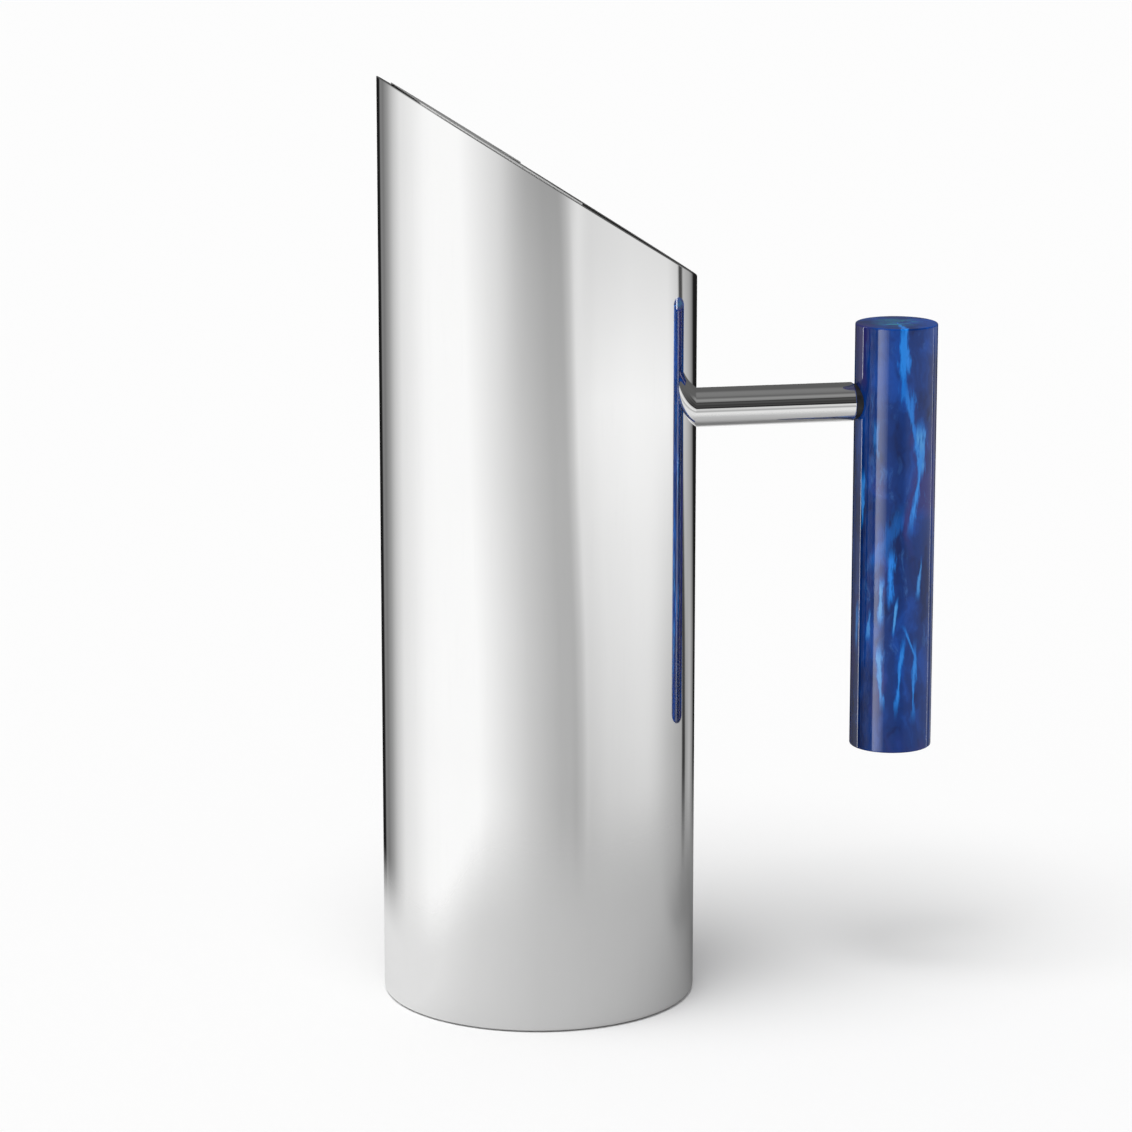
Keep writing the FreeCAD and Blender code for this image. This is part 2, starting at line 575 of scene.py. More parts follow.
@dataclass(frozen=True)
class MarbledResin:
    """Clear-coated blue resin with clouds, violet tints, long azure streaks and a painted shade on
    the side that faces the body.
    """

    axis_x: float
    middle_z: float
    name: str = "marbled resin"
    navy: Colour = Colour(0.001, 0.019, 0.130)
    cobalt: Colour = Colour(0.002, 0.040, 0.240)
    royal: Colour = Colour(0.006, 0.080, 0.440)
    violet: Colour = Colour(0.046, 0.038, 0.220)
    azure: Colour = Colour(0.000, 0.260, 1.000)
    pale: Colour = Colour(0.110, 0.450, 0.950)
    wisp: Colour = Colour(0.040, 0.170, 0.560)
    teal: Colour = Colour(0.030, 0.300, 0.420)
    top: float = 0.0662
    wisp_grain: tuple[float, float, float] = (1.0, 1.0, 0.20)
    wisp_strength: float = 0.75
    swirl_grain: tuple[float, float, float] = (0.30, 1.6, 1.0)
    swirl_reach: tuple[float, float] = (0.0095, 0.0040)
    swirl_strength: float = 0.85
    # Painted shade: how dark the side facing the body is made, and the angles over which it comes
    # in.
    body_side_shade_level: float = 0.72
    body_side_shade_ends: tuple[float, float] = (36.0, 8.0)
    streaks: tuple[Streak, ...] = (
        Streak(-94.0, 0.0600, 0.0160, 9.5, 60.0, 8.0, 1.0, 0.2),
        Streak(-82.0, 0.0383, 0.0160, 9.0, -1000.0, 10.0, 0.75, 0.2),
        Streak(-67.0, 0.0288, 0.0110, 12.0, -200.0, 12.0, 0.9, 0.9),
        Streak(-73.0, 0.0165, 0.0160, 7.5, 700.0, 10.0, 1.0, 0.4),
        Streak(-155.0, 0.0130, 0.0110, 5.5, 150.0, 14.0, 1.0, 0.5),
        Streak(-164.0, -0.0270, 0.0090, 6.0, 150.0, 14.0, 0.9, 0.3),
        Streak(-108.5, -0.0110, 0.0115, 7.0, 100.0, 12.0, 1.0, 0.2),
        Streak(-114.0, 0.0010, 0.0130, 16.0, 2000.0, 14.0, 0.35, 0.0),
        Streak(-120.0, -0.0186, 0.0095, 5.5, 300.0, 22.0, 0.95, 1.0),
        Streak(-101.0, -0.0233, 0.0075, 3.6, 300.0, 14.0, 0.9, 1.0),
        Streak(-121.0, -0.0420, 0.0130, 8.5, -150.0, 30.0, 0.8, 1.0),
        Streak(-93.0, -0.0420, 0.0150, 5.0, 420.0, 8.0, 0.95, 0.3),
        Streak(-71.5, -0.0440, 0.0150, 5.5, 60.0, 8.0, 0.95, 0.3),
        Streak(-78.0, -0.0320, 0.0070, 4.5, -2000.0, 6.0, 0.8, 0.3),
        Streak(-62.0, -0.0115, 0.0080, 6.0, 300.0, 24.0, 0.7, 1.0),
        Streak(-140.0, -0.0264, 0.0060, 5.0, 300.0, 20.0, 0.6, 0.9),
        Streak(-133.0, 0.0320, 0.0080, 8.0, -600.0, 24.0, 0.35, 0.6),
        Streak(20.0, 0.020, 0.040, 10.0, 300.0, 25.0, 0.9, 0.4),
        Streak(75.0, -0.015, 0.035, 12.0, -250.0, 25.0, 0.9, 0.4),
        Streak(140.0, 0.030, 0.030, 9.0, 300.0, 25.0, 0.8, 0.4),
        Streak(110.0, 0.045, 0.025, 8.0, -300.0, 25.0, 0.7, 0.4),
        Streak(-10.0, -0.040, 0.025, 9.0, 200.0, 25.0, 0.8, 0.4),
    )

    def material(self, groups: Groups) -> bpy.types.Material:
        """Build the finish.

        Args:
            groups: The shared node groups.

        Returns:
            The material.
        """
        material, graph, shader = new_material(self.name)
        place = graph.add("ShaderNodeTexCoord").outputs["Object"]
        centred = graph.vector_calc("SUBTRACT", place, (self.axis_x, 0.0, self.middle_z))
        bent = self.bent(graph, centred)
        drawn_out = graph.vector_calc("MULTIPLY", bent, (1.0, 1.0, 0.38))
        clouds = graph.noise(drawn_out, 95.0, detail=4.0, roughness=0.55)
        longer = graph.vector_calc("MULTIPLY", bent, (1.0, 1.0, 0.30))
        tints = graph.noise(longer, 70.0, detail=2.0, roughness=0.5)
        base = graph.ramp(
            clouds,
            [(0.34, self.navy), (0.48, self.cobalt), (0.64, self.royal), (0.80, self.cobalt)],
            smooth=True,
        )
        colour = graph.blend(graph.span(tints, 0.50, 0.66, 0.0, 0.8), base, self.violet.rgba())
        colour = self.with_wisps(graph, bent, colour)
        colour = self.with_streaks(graph, groups, centred, colour)
        colour = self.with_top_swirl(graph, bent, centred, colour)
        # Painted shade: the side of the grip that faces the body is darkened in the colour itself.
        colour = self.painted_shade_towards_body(graph, centred, colour)
        graph.feed(shader.inputs["Base Color"], colour)
        haze = graph.group(
            groups.polish_haze.tree,
            {
                "Vector": centred,
                "Rub Stretch": (1.0, 1.0, 0.2),
                "Cloud Scale": 120.0,
                "Rub Scale": 1500.0,
                "Clean Roughness": 0.10,
                "Hazy Roughness": 0.22,
            },
        )
        graph.feed(shader.inputs["Roughness"], haze.outputs["Roughness"])
        shader.inputs["Coat Weight"].default_value = 1.0
        shader.inputs["Coat Roughness"].default_value = 0.02
        shader.inputs["Coat IOR"].default_value = 1.42
        shader.inputs["Specular IOR Level"].default_value = 0.0
        return material

    def bent(self, graph: NodeGraph, centred: Feed) -> bpy.types.NodeSocket:
        """Bend the pattern's place with a slow swirl, so that clouds fold over.

        Args:
            graph: The material's graph.
            centred: The place from the middle of the grip.

        Returns:
            The bent place.
        """
        push_size = (0.012, 0.012, 0.03)
        swirl = graph.add("ShaderNodeTexNoise", {"Vector": centred, "Scale": 55.0, "Detail": 3.0})
        push = graph.vector_calc("SUBTRACT", swirl.outputs[1], (0.5, 0.5, 0.5))
        return graph.vector_calc("ADD", centred, graph.vector_calc("MULTIPLY", push, push_size))

    def with_wisps(self, graph: NodeGraph, bent: Feed, colour: Feed) -> bpy.types.NodeSocket:
        """Lay fine torn wisps over the clouds.

        Args:
            graph: The material's graph.
            bent: The bent place.
            colour: The colour so far.

        Returns:
            The colour with wisps.
        """
        stretched = graph.vector_calc("MULTIPLY", bent, self.wisp_grain)
        fine = graph.noise(stretched, 420.0, detail=5.0, roughness=0.62)
        aside = graph.vector_calc("ADD", bent, (0.3, 0.1, 0.2))
        where = graph.noise(aside, 75.0, detail=2.0, roughness=0.5)
        here = graph.span(where, 0.48, 0.66, 0.0, self.wisp_strength)
        amount = graph.calc("MULTIPLY", graph.span(fine, 0.52, 0.74), here)
        return graph.blend(amount, colour, self.wisp.rgba())

    def with_top_swirl(
        self, graph: NodeGraph, bent: Feed, centred: Feed, colour: Feed
    ) -> bpy.types.NodeSocket:
        """Brush a teal swirl across the middle of the top end.

        Args:
            graph: The material's graph.
            bent: The bent place.
            centred: The place from the middle of the grip.
            colour: The colour so far.

        Returns:
            The colour with the swirl.
        """
        x, y, z = graph.split(centred)
        out = graph.reach(x, y)
        stretched = graph.vector_calc("MULTIPLY", bent, self.swirl_grain)
        brushed = graph.noise(stretched, 330.0, detail=4.0, roughness=0.6)
        near_middle = graph.span(out, *self.swirl_reach)
        amount = graph.calc("MULTIPLY", graph.span(brushed, 0.46, 0.62), near_middle)
        on_top = graph.calc("MULTIPLY", amount, graph.calc("GREATER_THAN", z, self.top))
        strength = graph.calc("MULTIPLY", on_top, self.swirl_strength)
        return graph.blend(strength, colour, self.teal.rgba())

    def painted_shade_towards_body(
        self, graph: NodeGraph, centred: Feed, colour: Feed
    ) -> bpy.types.NodeSocket:
        """Paint shade into the resin's colour on the side that faces the body.

        Args:
            graph: The material's graph.
            centred: The place from the middle of the grip.
            colour: The colour so far.

        Returns:
            The colour with the painted shade.
        """
        # Painted shade: the colour is multiplied darker towards the body, by the angle round the
        # grip's axis.
        x, y, _ = graph.split(centred)
        off = graph.calc("ARCTAN2", graph.calc("ABSOLUTE", y), graph.calc("MULTIPLY", x, -1.0))
        start, end = (math.radians(angle) for angle in self.body_side_shade_ends)
        level = graph.blend_value(graph.span(off, start, end), 1.0, self.body_side_shade_level)
        return graph.blend(1.0, colour, level, "MULTIPLY")

    def with_streaks(
        self, graph: NodeGraph, groups: Groups, centred: Feed, colour: Feed
    ) -> bpy.types.NodeSocket:
        """Lay the long azure streaks over the clouds.

        Args:
            graph: The material's graph.
            groups: The shared node groups.
            centred: The place from the middle of the grip.
            colour: The colour so far.

        Returns:
            The colour with streaks.
        """
        for number, streak in enumerate(self.streaks):
            made = graph.group(
                groups.streak.tree,
                {
                    "Vector": centred,
                    "Angle": streak.angle,
                    "Middle": streak.middle,
                    "Half Length": streak.half_length,
                    "Width": streak.width,
                    "Lean": streak.lean,
                    "Sway": streak.sway,
                    "Seed": float(number),
                },
            )
            strength = graph.calc("MULTIPLY", made.outputs["Streak"], streak.strength)
            colour = graph.blend(strength, colour, self.azure.rgba())
            core = graph.calc("MULTIPLY", made.outputs["Core"], streak.paleness * streak.strength)
            colour = graph.blend(core, colour, self.pale.rgba())
        return colour


class Finishes:
    """Every finish of the pitcher, made once."""

    def __init__(self, groups: Groups, grip_axis: float, grip_middle: float) -> None:
        """Build the materials.

        Args:
            groups: The shared node groups.
            grip_axis: Where the grip's axis is along X.
            grip_middle: The height of the middle of the grip.
        """
        self.mirror_steel = RubbedMetal(
            name="mirror steel",
            colour=Colour(0.955, 0.955, 0.952),
            tarnish=Colour(0.935, 0.935, 0.932),
            clean_roughness=0.03,
            hazy_roughness=0.07,
            cloud_scale=22.0,
            rub_scale=700.0,
            rub_stretch=(1.0, 1.0, 0.05),
            relief=0.05,
        ).material(groups)
        self.brushed_steel = RubbedMetal(
            name="brushed steel",
            colour=Colour(0.84, 0.84, 0.835),
            tarnish=Colour(0.76, 0.76, 0.755),
            clean_roughness=0.24,
            hazy_roughness=0.34,
            cloud_scale=35.0,
            rub_scale=1800.0,
            rub_stretch=(1.0, 0.05, 1.0),
            relief=0.15,
            metallic=0.5,
        ).material(groups)
        self.satin_steel = RubbedMetal(
            name="satin steel",
            colour=Colour(0.62, 0.62, 0.61),
            tarnish=Colour(0.50, 0.50, 0.49),
            clean_roughness=0.28,
            hazy_roughness=0.40,
            cloud_scale=35.0,
            rub_scale=2600.0,
            rub_stretch=(0.05, 0.05, 1.0),
            relief=0.30,
        ).material(groups)
        self.turned_steel = RubbedMetal(
            name="turned steel",
            colour=Colour(0.58, 0.58, 0.57),
            tarnish=Colour(0.42, 0.42, 0.41),
            clean_roughness=0.25,
            hazy_roughness=0.38,
            cloud_scale=200.0,
            rub_scale=3500.0,
            rub_stretch=(1.0, 0.05, 0.05),
            relief=0.50,
        ).material(groups)
        self.turned_brass = RubbedMetal(
            name="turned brass",
            colour=Colour(0.78, 0.55, 0.22),
            tarnish=Colour(0.50, 0.32, 0.12),
            clean_roughness=0.25,
            hazy_roughness=0.40,
            cloud_scale=200.0,
            rub_scale=3500.0,
            rub_stretch=(1.0, 0.05, 0.05),
            relief=0.50,
        ).material(groups)
        self.gasket = GasketRubber().material(groups)
        self.resin = MarbledResin(axis_x=grip_axis, middle_z=grip_middle).material(groups)


# --------------------------------------------------------------------------- mesh making


class MeshMaker:
    """Turns rings of points into finished pieces."""

    @staticmethod
    def empty(name: str) -> bpy.types.Object:
        """Add an object with an empty mesh to the scene.

        Args:
            name: The name of the object and of its mesh.

        Returns:
            The object.
        """
        piece = bpy.data.objects.new(name, bpy.data.meshes.new(name))
        bpy.context.scene.collection.objects.link(piece)
        return piece

    @staticmethod
    def tidy(mesh: bmesh.types.BMesh, sharp_angle: float) -> None:
        """Merge doubles, turn the faces outward and mark the sharp edges.

        Args:
            mesh: The mesh to tidy.
            sharp_angle: Edges that turn by more than this, in degrees, stay crisp.
        """
        bmesh.ops.remove_doubles(mesh, verts=mesh.verts, dist=0.001 * MM)
        bmesh.ops.recalc_face_normals(mesh, faces=mesh.faces)
        for face in mesh.faces:
            face.smooth = True
        for edge in mesh.edges:
            edge.smooth = edge.calc_face_angle(math.pi) < math.radians(sharp_angle)

    @classmethod
    def tidy_piece(cls, piece: bpy.types.Object, sharp_angle: float) -> None:
        """Tidy the mesh of a piece that is already made.

        Args:
            piece: The piece.
            sharp_angle: Edges that turn by more than this, in degrees, stay crisp.
        """
        mesh = bmesh.new()
        mesh.from_mesh(piece.data)
        cls.tidy(mesh, sharp_angle)
        mesh.to_mesh(piece.data)
        mesh.free()

    @classmethod
    def from_rings(
        cls,
        name: str,
        rings: Sequence[Sequence[Vector]],
        joined: bool,
        sharp_angle: float = SHARP_ANGLE,
    ) -> bpy.types.Object:
        """Skin a row of closed rings.

        Args:
            name: The piece's name.
            rings: Rings with the same number of points each. A ring of one point is a pole.
            joined: Whether the last ring joins the first.
            sharp_angle: Edges that turn by more than this, in degrees, stay crisp.

        Returns:
            The piece.
        """
        mesh = bmesh.new()
        rows = [[mesh.verts.new(point) for point in ring] for ring in rings]
        pairs = list(zip(rows, rows[1:]))
        if joined:
            pairs.append((rows[-1], rows[0]))
        for low, high in pairs:
            count = max(len(low), len(high))
            for i in range(count):
                j = (i + 1) % count
                corners = [
                    low[i % len(low)],
                    low[j % len(low)],
                    high[j % len(high)],
                    high[i % len(high)],
                ]
                mesh.faces.new(list(dict.fromkeys(corners)))
        cls.tidy(mesh, sharp_angle)
        piece = cls.empty(name)
        mesh.to_mesh(piece.data)
        mesh.free()
        return piece

    @classmethod
    def turned(cls, name: str, profile: Profile, centre: Vector, segments: int) -> bpy.types.Object:
        """Turn a profile about an upright axis.

        Args:
            name: The piece's name.
            profile: Radius and height of each point. A radius of 0 is a pole.
            centre: A point on the axis.
            segments: How many steps make the turn.

        Returns:
            The piece.
        """
        rings = []
        for radius, height in profile:
            steps = segments if radius > 0 else 1
            rings.append(
                [
                    centre + Vector((radius * math.cos(turn), radius * math.sin(turn), height))
                    for turn in (2 * math.pi * i / segments for i in range(steps))
                ]
            )
        return cls.from_rings(name, rings, joined=False)

    @staticmethod
    def even_normals(piece: bpy.types.Object) -> None:
        """Let the wide faces lead the shading, so that flats and long walls reflect cleanly.

        Args:
            piece: The piece.
        """
        modifier = piece.modifiers.new("even normals", "WEIGHTED_NORMAL")
        modifier.mode = "FACE_AREA"
        modifier.weight = 50
        modifier.keep_sharp = True

    @staticmethod
    def ease_edges(piece: bpy.types.Object, width: float, angle: float) -> None:
        """Round the sharp edges of a piece.

        Args:
            piece: The piece.
            width: The width of the rounding.
            angle: Edges that turn by more than this, in degrees, are rounded.
        """
        modifier = piece.modifiers.new("eased edges", "BEVEL")
        modifier.width = width
        modifier.segments = 3
        modifier.limit_method = "ANGLE"
        modifier.angle_limit = math.radians(angle)

    @staticmethod
    def apply_modifiers(piece: bpy.types.Object) -> None:
        """Turn the evaluated shape into the piece's own mesh and drop its modifiers.

        Args:
            piece: The piece.
        """
        graph = bpy.context.evaluated_depsgraph_get()
        finished = bpy.data.meshes.new_from_object(
            piece.evaluated_get(graph), preserve_all_data_layers=True, depsgraph=graph
        )
        piece.modifiers.clear()
        piece.data = finished
        finished.name = piece.name

    @staticmethod
    def dress(piece: bpy.types.Object, *materials: bpy.types.Material) -> None:
        """Give the piece its materials in order, in place of any others."""
        piece.data.materials.clear()
        for material in materials:
            piece.data.materials.append(material)


def seat(piece: bpy.types.Object, node: Node) -> bpy.types.Object:
    """Let a finished piece stand for its node and ride on the body.

    Args:
        piece: The finished piece.
        node: The node that it stands for.

    Returns:
        The piece.
    """
    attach(piece, ROOT_BODY)
    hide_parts(node.value)
    faces = len(piece.data.polygons)
    LOG.info("%s: %d faces, stands for %s", piece.name, faces, node.value)
    return piece


def arc(
    centre: tuple[float, float], radius: float, start: float, end: float, steps: int
) -> list[tuple[float, float]]:
    """Points on an arc.

    Args:
        centre: The middle of the arc.
        radius: The arc's radius.
        start: The first angle, in degrees.
        end: The last angle, in degrees.
        steps: How many steps the arc has.

    Returns:
        The points, both ends among them.
    """
    points = []
    for i in range(steps + 1):
        angle = math.radians(start + (end - start) * i / steps)
        points.append((centre[0] + radius * math.cos(angle), centre[1] + radius * math.sin(angle)))
    return points


# --------------------------------------------------------------------------- sub-assemblies


@dataclass(frozen=True)
class Mouth:
    """The slanted plane that cuts the body off: its height over the axis, and its fall along +X."""

    middle: float
    fall: float

    def height(self, x: float) -> float:
        """The plane's height at a place along X."""
        return self.middle - self.fall * x

    def stretch(self) -> float:
        """How much longer an upright line through a layer on the plane is than its thickness."""
        return math.sqrt(1 + self.fall**2)


@dataclass
class BodyTube:
    """Thin polished tube, cut off on a slant, made by a Geometry Nodes tree."""

    radius: float
    foot: float
    tip: float
    wall: float = 1.0 * MM
    fall: float = 0.6375
    lip_rounding: float = 0.45 * MM
    segments: int = 256
    rounding_steps: int = 4
    sharp_angle: float = 50.0
    merge_distance: float = 0.002 * MM
    inner_face_share: float = 0.3

    def mouth(self) -> Mouth:
        """The mouth plane, set so that the rounded tip ends at the tip height."""
        lean = math.atan(1 / self.fall)
        drop = self.lip_rounding * (self.fall * (1 - math.cos(lean)) + 1 - math.sin(lean))
        return Mouth(self.tip + drop - self.fall * self.radius, self.fall)

    def tree(self, outside: bpy.types.Material, inside: bpy.types.Material) -> bpy.types.NodeTree:
        """Build the tree that sweeps the wall round the axis and slants its top.

        Args:
            outside: The finish of the outer face.
            inside: The finish of the inner face.

        Returns:
            The Geometry Nodes tree.
        """
        tree = bpy.data.node_groups.new("slant-cut tube", "GeometryNodeTree")
        face = tree.interface
        face.new_socket("Geometry", in_out="INPUT", socket_type="NodeSocketGeometry")
        for name in ("Radius", "Wall", "Foot", "Mouth Middle", "Fall", "Lip Rounding"):
            face.new_socket(name, in_out="INPUT", socket_type="NodeSocketFloat")
        for name in ("Segments", "Rounding Steps"):
            face.new_socket(name, in_out="INPUT", socket_type="NodeSocketInt")
        face.new_socket("Geometry", in_out="OUTPUT", socket_type="NodeSocketGeometry")
        graph = NodeGraph(tree)
        given = graph.add("NodeGroupInput").outputs
        length = graph.calc("SUBTRACT", given["Mouth Middle"], given["Foot"])
        wall = graph.add(
            "GeometryNodeCurvePrimitiveQuadrilateral", {"Width": given["Wall"], "Height": length}
        )
        along = graph.split(graph.add("GeometryNodeInputPosition").outputs[0])[1]
        at_lip = graph.calc("LESS_THAN", along, 0.0)
        eased = graph.add(
            "GeometryNodeFilletCurve",
            {
                "Curve": wall.outputs[0],
                "Count": given["Rounding Steps"],
                "Radius": graph.calc("MULTIPLY", at_lip, given["Lip Rounding"]),
            },
            mode="POLY",
        )
        half_wall = graph.calc("MULTIPLY", given["Wall"], 0.5)
        centre_line = graph.calc("SUBTRACT", given["Radius"], half_wall)
        path = graph.add(
            "GeometryNodeCurvePrimitiveCircle",
            {"Resolution": given["Segments"], "Radius": centre_line},
        )
        swept = graph.add(
            "GeometryNodeCurveToMesh", {"Curve": path.outputs[0], "Profile Curve": eased.outputs[0]}
        )
        lift = graph.calc("MULTIPLY", graph.calc("ADD", given["Mouth Middle"], given["Foot"]), 0.5)
        x, _, z = graph.split(graph.add("GeometryNodeInputPosition").outputs[0])
        drop = graph.calc("MULTIPLY", x, given["Fall"])
        slanted = graph.calc("MULTIPLY", drop, graph.calc("GREATER_THAN", z, 0.0))
        placed = graph.add(
            "GeometryNodeSetPosition",
            {
                "Geometry": swept.outputs[0],
                "Offset": graph.vector(0.0, 0.0, graph.calc("SUBTRACT", lift, slanted)),
            },
        )
        merged = graph.add(
            "GeometryNodeMergeByDistance",
            {"Geometry": placed.outputs[0], "Distance": self.merge_distance},
        )
        real = graph.add("GeometryNodeRealizeInstances", {"Geometry": merged.outputs[0]})
        outer = graph.add(
            "GeometryNodeSetMaterial", {"Geometry": real.outputs[0], "Material": outside}
        )
        x, y, _ = graph.split(graph.add("GeometryNodeInputPosition").outputs[0])
        reach = graph.reach(x, y)
        inward = graph.calc("MULTIPLY", given["Wall"], self.inner_face_share)
        bore = graph.calc("SUBTRACT", centre_line, inward)
        inner = graph.add(
            "GeometryNodeSetMaterial",
            {
                "Geometry": outer.outputs[0],
                "Selection": graph.calc("LESS_THAN", reach, bore),
                "Material": inside,
            },
        )
        out = graph.add("NodeGroupOutput")
        graph.feed(out.inputs[0], inner.outputs[0])
        return tree

    def build(self, finishes: Finishes) -> bpy.types.Object:
        """Make the tube.

        Args:
            finishes: The finishes.

        Returns:
            The piece.
        """
        piece = MeshMaker.empty("body_tube")
        modifier = piece.modifiers.new("slant-cut tube", "NODES")
        modifier.node_group = self.tree(finishes.mirror_steel, finishes.satin_steel)
        mouth = self.mouth()
        values = {
            "Radius": self.radius,
            "Wall": self.wall,
            "Foot": self.foot,
            "Mouth Middle": mouth.middle,
            "Fall": self.fall,
            "Lip Rounding": self.lip_rounding,
            "Segments": self.segments,
            "Rounding Steps": self.rounding_steps,
        }
        for socket in modifier.node_group.interface.items_tree:
            if socket.in_out == "INPUT" and socket.name in values:
                modifier[socket.identifier] = values[socket.name]
        MeshMaker.apply_modifiers(piece)
        MeshMaker.tidy_piece(piece, self.sharp_angle)
        MeshMaker.even_normals(piece)
        return seat(piece, Node.BODY_SHELL)


@dataclass
class BasePan:
    """Pressed base with an upturned flange, a rounded corner, a foot ring and a raised middle."""

    radius: float
    top: float
    sheet: float = 1.0 * MM
    corner: float = 1.5 * MM
    foot_ring: float = 8.0 * MM
    recess: float = 1.2 * MM
    step_run: float = 2.0 * MM
    segments: int = 256
    corner_steps: int = 8

    def profile(self) -> Profile:
        """The sheet's outline, from the middle below, round the flange, to the middle above."""
        corner_x = self.radius - self.corner
        ring_x = self.radius - self.foot_ring
        middle_x = ring_x - self.step_run
        under = [(0.0, self.recess), (middle_x, self.recess), (ring_x, 0.0)]
        bend = (corner_x, self.corner)
        outside = arc(bend, self.corner, -90.0, 0.0, self.corner_steps)
        inside = arc(bend, self.corner - self.sheet, 0.0, -90.0, self.corner_steps // 2)
        middle_top = self.recess + self.sheet
        over = [(ring_x, self.sheet), (middle_x, middle_top), (0.0, middle_top)]
        rim = [(self.radius, self.top), (self.radius - self.sheet, self.top)]
        return under + outside + rim + inside + over

    def build(self, finishes: Finishes) -> bpy.types.Object:
        """Make the pan.

        Args:
            finishes: The finishes.

        Returns:
            The piece.
        """
        piece = MeshMaker.turned("base_pan_shell", self.profile(), Vector((0, 0, 0)), self.segments)
        MeshMaker.dress(piece, finishes.mirror_steel, finishes.satin_steel)
        inner = self.radius - 0.5 * self.sheet
        above = 0.5 * self.sheet + 0.1 * MM
        for face in piece.data.polygons:
            middle = face.center
            reach = math.hypot(middle.x, middle.y)
            if middle.z > above and reach < inner and face.normal.z > -0.5:
                face.material_index = 1
        MeshMaker.even_normals(piece)
        return seat(piece, Node.BASE_PAN)


@dataclass
class IceGuard:
    """Crescent plate on the mouth that holds back ice and leaves a pouring slot at the tip."""

    radius: float
    mouth: Mouth
    front: float
    thickness: float = 0.4 * MM
    horn_reach: float = 4.0 * MM
    middle_reach: float = -12.0 * MM
    easing: float = 0.12 * MM
    side_steps: int = 48
    back_steps: int = 96
    sharp_angle: float = 35.0

    def outline(self) -> list[tuple[float, float]]:
        """The plate's plan: straight front, two sides on the body's circle, and a hollow back."""
        horn_y = math.sqrt(self.radius**2 - self.horn_reach**2)
        front_y = math.sqrt(self.radius**2 - self.front**2)
        sweep = self.horn_reach - self.middle_reach
        back_radius = (horn_y**2 + sweep**2) / (2 * sweep)
        horn_angle = math.degrees(math.atan2(horn_y, self.horn_reach))
        front_angle = math.degrees(math.atan2(front_y, self.front))
        back_x = self.middle_reach + back_radius
        spread = math.degrees(math.atan2(horn_y, self.horn_reach - back_x))
        side = arc((0.0, 0.0), self.radius, front_angle, horn_angle, self.side_steps)
        back = arc((back_x, 0.0), back_radius, spread, 360.0 - spread, self.back_steps)
        return side + back[1:-1] + [(x, -y) for x, y in reversed(side)]

    def build(self, finishes: Finishes) -> bpy.types.Object:
        """Make the guard.

        Args:
            finishes: The finishes.

        Returns:
            The piece.
        """
        outline = self.outline()
        rise = self.thickness * self.mouth.stretch()
        mesh = bmesh.new()
        low = [mesh.verts.new((x, y, self.mouth.height(x))) for x, y in outline]
        high = [mesh.verts.new((x, y, self.mouth.height(x) + rise)) for x, y in outline]
        mesh.faces.new(low)
        mesh.faces.new(high)
        for i, corner in enumerate(low):
            j = (i + 1) % len(low)
            mesh.faces.new([corner, low[j], high[j], high[i]])
        MeshMaker.tidy(mesh, self.sharp_angle)
        piece = MeshMaker.empty("ice_guard_plate")
        mesh.to_mesh(piece.data)
        mesh.free()
        MeshMaker.ease_edges(piece, self.easing, self.sharp_angle)
        MeshMaker.even_normals(piece)
        MeshMaker.dress(piece, finishes.brushed_steel)
        return seat(piece, Node.ICE_GUARD)


@dataclass
class HandleArm:
    """Level tube from the side of the body to the grip, shaped to the body at its inner end."""

    body_radius: float
    end: float
    height: float
    radius: float
    wall: float = 1.5 * MM
    end_rounding: float = 0.6 * MM
    segments: int = 128
    rounding_steps: int = 6

    def ring(self, radius: float, place: Callable[[float], float]) -> list[Vector]:
        """One ring round the arm's axis.

        Args:
            radius: The ring's radius.
            place: Gives the place along X from the place along Y.

        Returns:
            The points of the ring.
        """
        points = []
        for i in range(self.segments):
            turn = 2 * math.pi * i / self.segments
            y = radius * math.cos(turn)
            points.append(Vector((place(y), y, self.height + radius * math.sin(turn))))
        return points

    def on_body(self, y: float) -> float:
        """Where the body's wall is along X at a place along Y."""
        return math.sqrt(self.body_radius**2 - y**2)

    def build(self, finishes: Finishes) -> bpy.types.Object:
        """Make the arm.

        Args:
            finishes: The finishes.

        Returns:
            The piece.
        """
        bore = self.radius - self.wall
        straight = self.end - self.end_rounding
        rings = [self.ring(self.radius, self.on_body)]
        centre = (straight, self.radius - self.end_rounding)
        rounding = arc(centre, self.end_rounding, 90.0, 0.0, self.rounding_steps)
        rings += [self.ring(radius, lambda _y, x=x: x) for x, radius in rounding]
        rings += [self.ring(bore, lambda _y: self.end), self.ring(bore, self.on_body)]
        piece = MeshMaker.from_rings("handle_arm_tube", rings, joined=True)
        MeshMaker.even_normals(piece)
        MeshMaker.dress(piece, finishes.mirror_steel)
        return seat(piece, Node.HANDLE_ARM)


@dataclass
class GripWasher:
    """Black washer, flat against the arm and saddled against the grip."""

    arm: HandleArm
    grip_axis: float
    grip_radius: float
    radius: float
    hole: float = 3.2 * MM
    easing: float = 0.12 * MM

    def on_grip(self, y: float) -> float:
        """Where the grip's side is along X at a place along Y."""
        return self.grip_axis - math.sqrt(self.grip_radius**2 - y**2)

    def build(self, finishes: Finishes) -> bpy.types.Object:
        """Make the washer.

        Args:
            finishes: The finishes.

        Returns:
            The piece.
        """

        def flat(_y: float) -> float:
            """Where the arm ends along X, whatever the place along Y."""
            return self.arm.end

        rings = [
            self.arm.ring(self.radius, flat),
            self.arm.ring(self.radius, self.on_grip),
            self.arm.ring(self.hole, self.on_grip),
            self.arm.ring(self.hole, flat),
        ]
        piece = MeshMaker.from_rings("grip_washer_ring", rings, joined=True)
        MeshMaker.ease_edges(piece, self.easing, SHARP_ANGLE)
        MeshMaker.even_normals(piece)
        MeshMaker.dress(piece, finishes.gasket)
        return seat(piece, Node.GRIP_WASHER)


